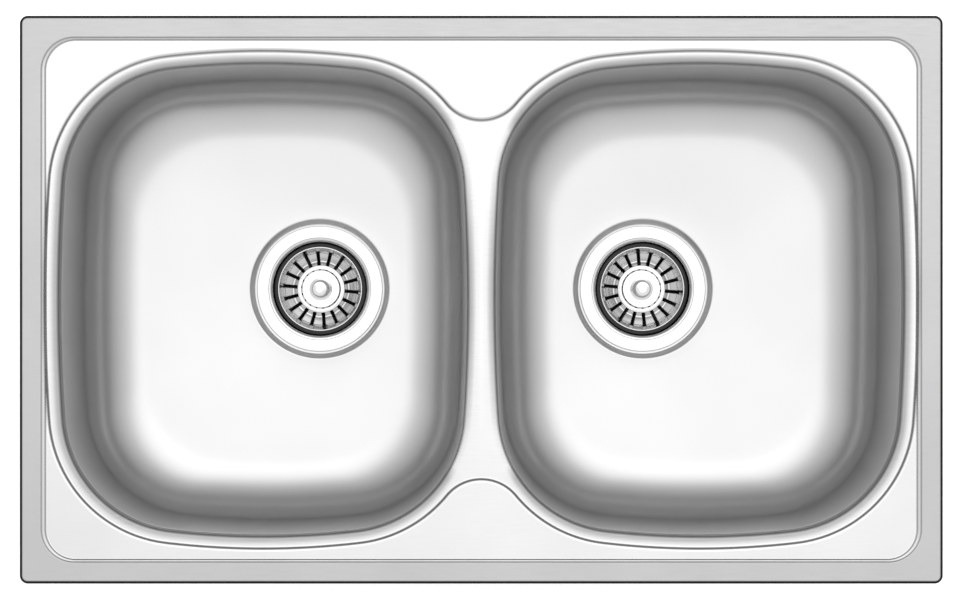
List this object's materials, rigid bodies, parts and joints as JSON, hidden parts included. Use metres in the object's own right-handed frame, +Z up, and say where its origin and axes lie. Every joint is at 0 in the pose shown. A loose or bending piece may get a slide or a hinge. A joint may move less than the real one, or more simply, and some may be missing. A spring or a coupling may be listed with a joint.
{
  "type": "double bowl kitchen sink",
  "caption": "Inset kitchen sink: a stepped steel deck with bowls side by side, each with a lift-out basket strainer in its waste, held down by swinging clamps under the rim.",
  "frame": {"origin": "centre of the worktop cut-out, on the worktop's top face, which the rim seal rests on", "axes": "+X along the sink's length to its right, +Y to its back edge, +Z up"},
  "size_m": [0.78, 0.48, 0.2487],
  "materials": {
    "deck_steel": "satin pressed stainless steel, finely brushed",
    "bowl_steel": "satin deep-drawn stainless steel",
    "cup_steel": "polished stainless steel",
    "basket_steel": "polished stainless steel",
    "screw_steel": "turned stainless steel",
    "knob_chrome": "bright chrome plating",
    "plug_rubber": "black moulded rubber",
    "gasket_rubber": "black moulded rubber",
    "seal_foam": "dark grey closed-cell foam",
    "pad_rubber": "dark grey bitumen-rubber sheet",
    "body_plastic": "black moulded polypropylene",
    "insert_brass": "turned brass",
    "clamp_steel": "pressed galvanised steel",
    "clamp_zinc": "zinc-plated steel"
  },
  "bodies": {
    "sink": {"deck": "deck_steel", "left_bowl": "bowl_steel", "right_bowl": "bowl_steel", "rim_seal": "seal_foam", "left_sound_pad": "pad_rubber", "right_sound_pad": "pad_rubber", "clamp_brackets": "clamp_steel", "clamp_studs": "clamp_zinc", "waste_cups": "cup_steel", "flange_gaskets": "gasket_rubber", "under_gaskets": "gasket_rubber", "left_waste_body": "body_plastic", "right_waste_body": "body_plastic", "waste_screws": "screw_steel", "screw_inserts": "insert_brass"},
    "left_plug": {"left_strainer_basket": "basket_steel", "left_basket_seal": "plug_rubber", "left_pull_knob": "knob_chrome", "left_plug_stem": "screw_steel"},
    "right_plug": {"right_strainer_basket": "basket_steel", "right_basket_seal": "plug_rubber", "right_pull_knob": "knob_chrome", "right_plug_stem": "screw_steel"},
    "nut_1": {"clamp_nut_1": "clamp_zinc"},
    "clamp_claw_1": {"claw_1": "clamp_steel"},
    "nut_2": {"clamp_nut_2": "clamp_zinc"},
    "clamp_claw_2": {"claw_2": "clamp_steel"},
    "nut_3": {"clamp_nut_3": "clamp_zinc"},
    "clamp_claw_3": {"claw_3": "clamp_steel"},
    "nut_4": {"clamp_nut_4": "clamp_zinc"},
    "clamp_claw_4": {"claw_4": "clamp_steel"},
    "nut_5": {"clamp_nut_5": "clamp_zinc"},
    "clamp_claw_5": {"claw_5": "clamp_steel"},
    "nut_6": {"clamp_nut_6": "clamp_zinc"},
    "clamp_claw_6": {"claw_6": "clamp_steel"}
  },
  "joints": [
    {"name": "left_plug_lift", "type": "slide", "parent": "sink", "child": "left_plug", "axis": [0, 0, 1], "range_m": [0, 0.24]},
    {"name": "right_plug_lift", "type": "slide", "parent": "sink", "child": "right_plug", "axis": [0, 0, 1], "range_m": [0, 0.24]},
    {"name": "clamp_1_rise", "type": "slide", "parent": "sink", "child": "nut_1", "axis": [0, 0, 1], "range_m": [0, 0.03]},
    {"name": "clamp_1_swing", "type": "hinge", "parent": "nut_1", "child": "clamp_claw_1", "pos_m": [-0.318, 0.211, -0.0498], "axis": [0, 0, 1], "range_deg": [0, 90]},
    {"name": "clamp_2_rise", "type": "slide", "parent": "sink", "child": "nut_2", "axis": [0, 0, 1], "range_m": [0, 0.03]},
    {"name": "clamp_2_swing", "type": "hinge", "parent": "nut_2", "child": "clamp_claw_2", "pos_m": [0, 0.211, -0.0498], "axis": [0, 0, 1], "range_deg": [0, 90]},
    {"name": "clamp_3_rise", "type": "slide", "parent": "sink", "child": "nut_3", "axis": [0, 0, 1], "range_m": [0, 0.03]},
    {"name": "clamp_3_swing", "type": "hinge", "parent": "nut_3", "child": "clamp_claw_3", "pos_m": [0.318, 0.211, -0.0498], "axis": [0, 0, -1], "range_deg": [0, 90]},
    {"name": "clamp_4_rise", "type": "slide", "parent": "sink", "child": "nut_4", "axis": [0, 0, 1], "range_m": [0, 0.03]},
    {"name": "clamp_4_swing", "type": "hinge", "parent": "nut_4", "child": "clamp_claw_4", "pos_m": [-0.318, -0.211, -0.0498], "axis": [0, 0, -1], "range_deg": [0, 90]},
    {"name": "clamp_5_rise", "type": "slide", "parent": "sink", "child": "nut_5", "axis": [0, 0, 1], "range_m": [0, 0.03]},
    {"name": "clamp_5_swing", "type": "hinge", "parent": "nut_5", "child": "clamp_claw_5", "pos_m": [0, -0.211, -0.0498], "axis": [0, 0, -1], "range_deg": [0, 90]},
    {"name": "clamp_6_rise", "type": "slide", "parent": "sink", "child": "nut_6", "axis": [0, 0, 1], "range_m": [0, 0.03]},
    {"name": "clamp_6_swing", "type": "hinge", "parent": "nut_6", "child": "clamp_claw_6", "pos_m": [0.318, -0.211, -0.0498], "axis": [0, 0, 1], "range_deg": [0, 90]}
  ]
}
